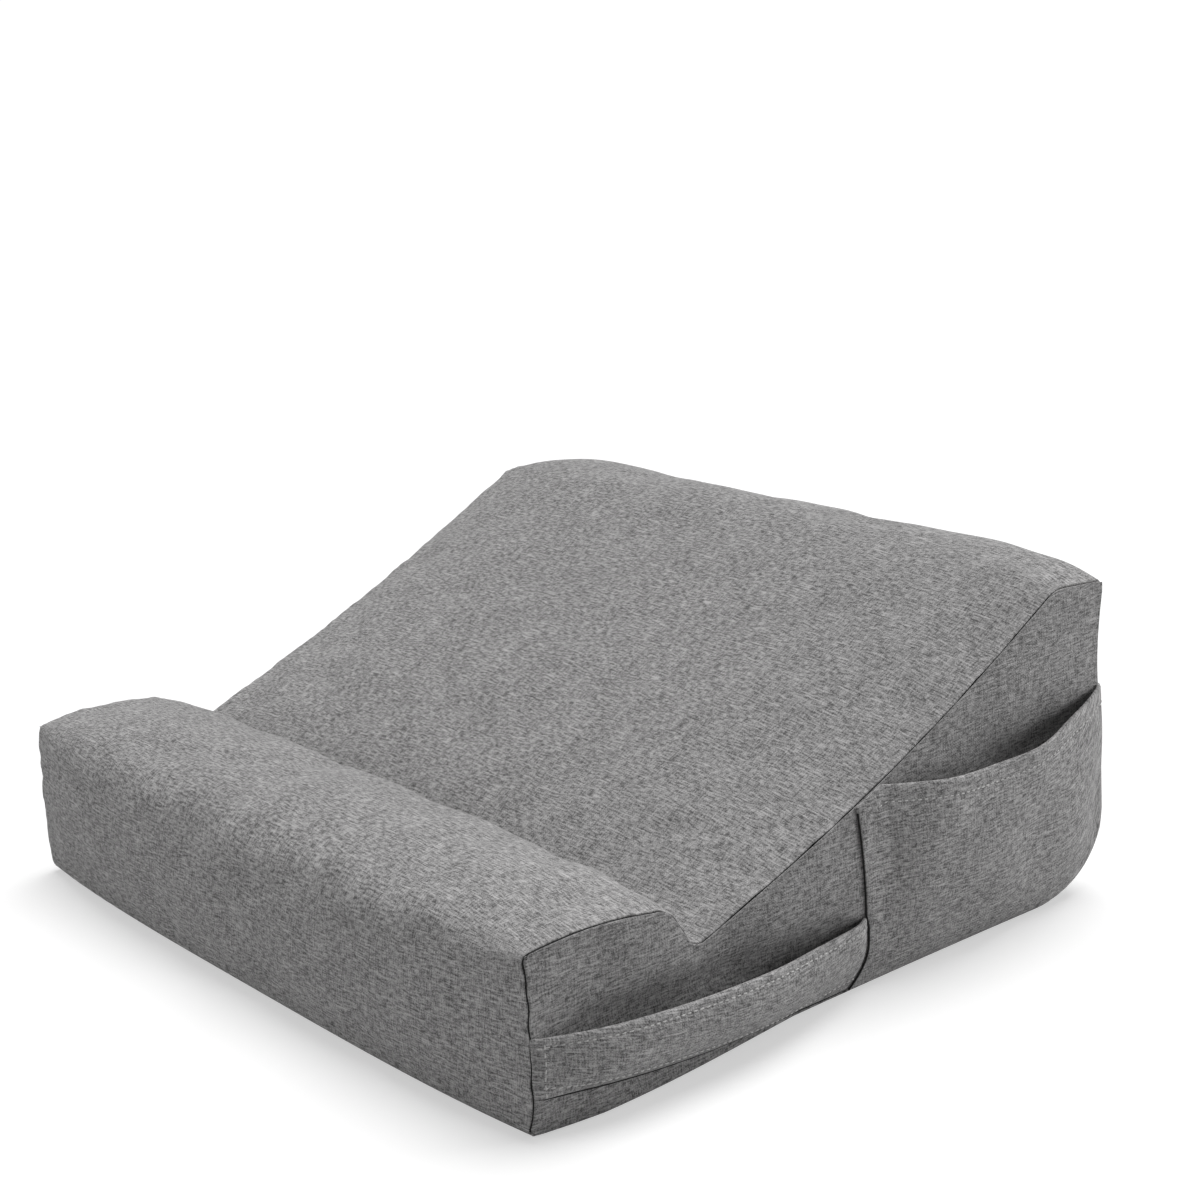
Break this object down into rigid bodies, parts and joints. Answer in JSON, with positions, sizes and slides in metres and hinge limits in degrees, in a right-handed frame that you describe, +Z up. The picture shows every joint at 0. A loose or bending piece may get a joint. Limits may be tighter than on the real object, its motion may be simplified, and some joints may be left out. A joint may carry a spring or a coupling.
{
  "type": "laptop pillow",
  "caption": "Foam wedge cushion in a zipped grey woven cover, with a front lip and groove that hold a sloping computer, and slip pockets on the right side.",
  "frame": {"origin": "middle of the flat base, midway between the side seams and between the front and back seams", "axes": "+X to the user's right, towards the pockets; +Y from the lip to the high back; +Z up"},
  "size_m": [0.4155, 0.347, 0.1555],
  "materials": {
    "foam": "open-cell foam, matte",
    "top_cloth": "heather linen-look weave, matte",
    "base_cloth": "heather linen-look weave, matte",
    "side_cloth": "heather linen-look weave, matte",
    "pocket_cloth": "heather linen-look weave, matte",
    "tape": "woven tape",
    "teeth": "moulded, satin",
    "metal": "gunmetal lacquer"
  },
  "bodies": {
    "cushion": {"foam_core": "foam", "top_panel": "top_cloth", "base_panel": "base_cloth", "right_side_panel": "side_cloth", "left_side_panel": "side_cloth", "front_pocket": "pocket_cloth", "rear_pocket": "pocket_cloth", "zip_tape_upper": "tape", "zip_tape_lower": "tape", "zip_teeth_upper": "teeth", "zip_teeth_lower": "teeth", "zip_top_stop_upper": "metal", "zip_top_stop_lower": "metal", "zip_bottom_stop": "metal"},
    "slider": {"zip_slider": "metal"},
    "pull": {"zip_pull": "metal"}
  },
  "joints": [
    {"name": "zip_slide", "type": "slide", "parent": "cushion", "child": "slider", "axis": [-1, 0, 0], "range_m": [0, 0.321], "deforming": ["zip_teeth_upper", "zip_teeth_lower"]},
    {"name": "pull_swing", "type": "hinge", "parent": "slider", "child": "pull", "pos_m": [0.1628, 0.1659, 0.0621], "axis": [0, 0, -1], "range_deg": [0, 180]}
  ]
}
